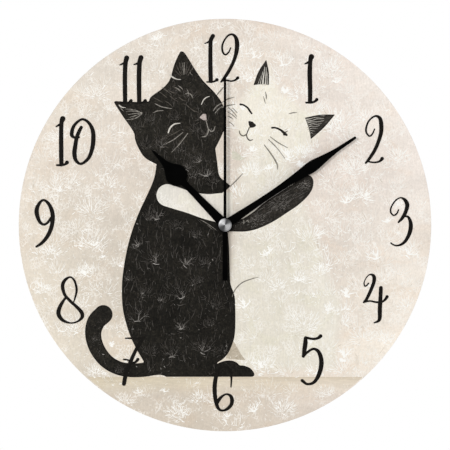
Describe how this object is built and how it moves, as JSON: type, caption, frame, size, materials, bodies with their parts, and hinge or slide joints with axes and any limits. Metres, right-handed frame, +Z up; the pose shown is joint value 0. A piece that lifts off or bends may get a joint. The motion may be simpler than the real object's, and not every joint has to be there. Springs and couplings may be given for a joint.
{
  "type": "wall clock",
  "caption": "Frameless round quartz wall clock: printed disc dial with a cat picture, three black hands and a rear battery movement.",
  "frame": {"origin": "on the hand arbor's axis, in the plane of the movement's rear face, which rests against the wall", "axes": "+X to the right seen from the front, +Z up towards twelve, +Y from the dial towards the wall, so the front faces -Y"},
  "size_m": [0.24, 0.0294, 0.24],
  "materials": {
    "dial_print": "matte",
    "dial_board_mdf": "matte",
    "foam_tape": "matte",
    "case_plastic": "satin",
    "plate_plastic": "satin",
    "gear_plastic": "satin",
    "pinion_plastic": "satin",
    "bobbin_plastic": "satin",
    "knob_plastic": "satin",
    "steel": "satin",
    "nickel_strip": "satin",
    "spring_steel": "polished",
    "silicon_steel": "satin",
    "magnet": "matte",
    "copper_winding": "gloss",
    "board_laminate": "satin",
    "epoxy": "gloss",
    "crystal_can": "satin",
    "solder": "polished",
    "cell_can": "satin",
    "cell_sleeve": "gloss",
    "hand_black": "satin",
    "collet_brass": "satin",
    "cap_aluminium": "polished"
  },
  "bodies": {
    "clock_body": {"dial_board": "dial_board_mdf", "dial_print_film": "dial_print", "foam_mounting_pad": "foam_tape", "movement_front_case": "case_plastic", "movement_rear_case": "case_plastic", "middle_plate": "plate_plastic", "coil_bobbin": "bobbin_plastic", "coil_winding": "copper_winding", "coil_core": "silicon_steel", "stator_plate": "silicon_steel", "circuit_board": "board_laminate", "quartz_crystal": "crystal_can", "chip_encapsulant": "epoxy", "solder_joints": "solder", "positive_contact": "nickel_strip", "negative_contact": "nickel_strip", "negative_contact_spring": "spring_steel"},
    "second_hand_group": {"seconds_arbor": "steel", "seconds_wheel": "gear_plastic", "second_hand": "hand_black", "second_hand_collet": "collet_brass", "hub_cap": "cap_aluminium"},
    "minute_hand_group": {"minute_hand": "hand_black", "minute_hand_collet": "collet_brass", "cannon_pinion": "gear_plastic", "centre_wheel": "gear_plastic", "clutch_washer": "spring_steel"},
    "hour_hand_group": {"hour_hand": "hand_black", "hour_hand_collet": "collet_brass", "hour_wheel": "gear_plastic"},
    "third_wheel_group": {"third_wheel": "gear_plastic"},
    "fifth_wheel_group": {"fifth_wheel": "gear_plastic"},
    "rotor_group": {"rotor_pinion": "pinion_plastic", "rotor_magnet": "magnet"},
    "motion_wheel_group": {"motion_wheel": "gear_plastic"},
    "setting_knob_group": {"setting_knob": "knob_plastic", "setting_pinion": "knob_plastic"},
    "battery": {"battery_cell": "cell_can", "battery_sleeve": "cell_sleeve"}
  },
  "joints": [
    {"name": "second_hand_spin", "type": "hinge", "parent": "clock_body", "child": "second_hand_group", "pos_m": [0, -0.009, 0], "axis": [0, 1, 0], "continuous": true},
    {"name": "minute_hand_spin", "type": "hinge", "parent": "clock_body", "child": "minute_hand_group", "pos_m": [0, -0.009, 0], "axis": [0, 1, 0], "continuous": true},
    {"name": "hour_hand_spin", "type": "hinge", "parent": "clock_body", "child": "hour_hand_group", "pos_m": [0, -0.009, 0], "axis": [0, 1, 0], "continuous": true},
    {"name": "third_wheel_spin", "type": "hinge", "parent": "clock_body", "child": "third_wheel_group", "pos_m": [-0.00837, -0.009, 0.00148], "axis": [0, 1, 0], "continuous": true},
    {"name": "fifth_wheel_spin", "type": "hinge", "parent": "clock_body", "child": "fifth_wheel_group", "pos_m": [0.00502, -0.009, 0.00717], "axis": [0, 1, 0], "continuous": true},
    {"name": "rotor_spin", "type": "hinge", "parent": "clock_body", "child": "rotor_group", "pos_m": [0.00185, -0.009, 0.01396], "axis": [0, 1, 0], "continuous": true},
    {"name": "motion_wheel_spin", "type": "hinge", "parent": "clock_body", "child": "motion_wheel_group", "pos_m": [0.00891, -0.009, -0.00125], "axis": [0, 1, 0], "continuous": true},
    {"name": "setting_knob_spin", "type": "hinge", "parent": "clock_body", "child": "setting_knob_group", "pos_m": [0.01833, -0.009, -0.00043], "axis": [0, 1, 0], "continuous": true},
    {"name": "battery_slide", "type": "slide", "parent": "clock_body", "child": "battery", "axis": [0, 1, 0], "range_m": [0, 0.025]}
  ],
  "couplings": [
    {"joint": "minute_hand_spin", "follows": "second_hand_spin", "ratio": 0.016667},
    {"joint": "hour_hand_spin", "follows": "second_hand_spin", "ratio": 0.0013889},
    {"joint": "third_wheel_spin", "follows": "second_hand_spin", "ratio": -0.13333},
    {"joint": "fifth_wheel_spin", "follows": "second_hand_spin", "ratio": -6},
    {"joint": "rotor_spin", "follows": "second_hand_spin", "ratio": 30},
    {"joint": "motion_wheel_spin", "follows": "second_hand_spin", "ratio": -0.0055556},
    {"joint": "setting_knob_spin", "follows": "second_hand_spin", "ratio": 0.013889}
  ]
}
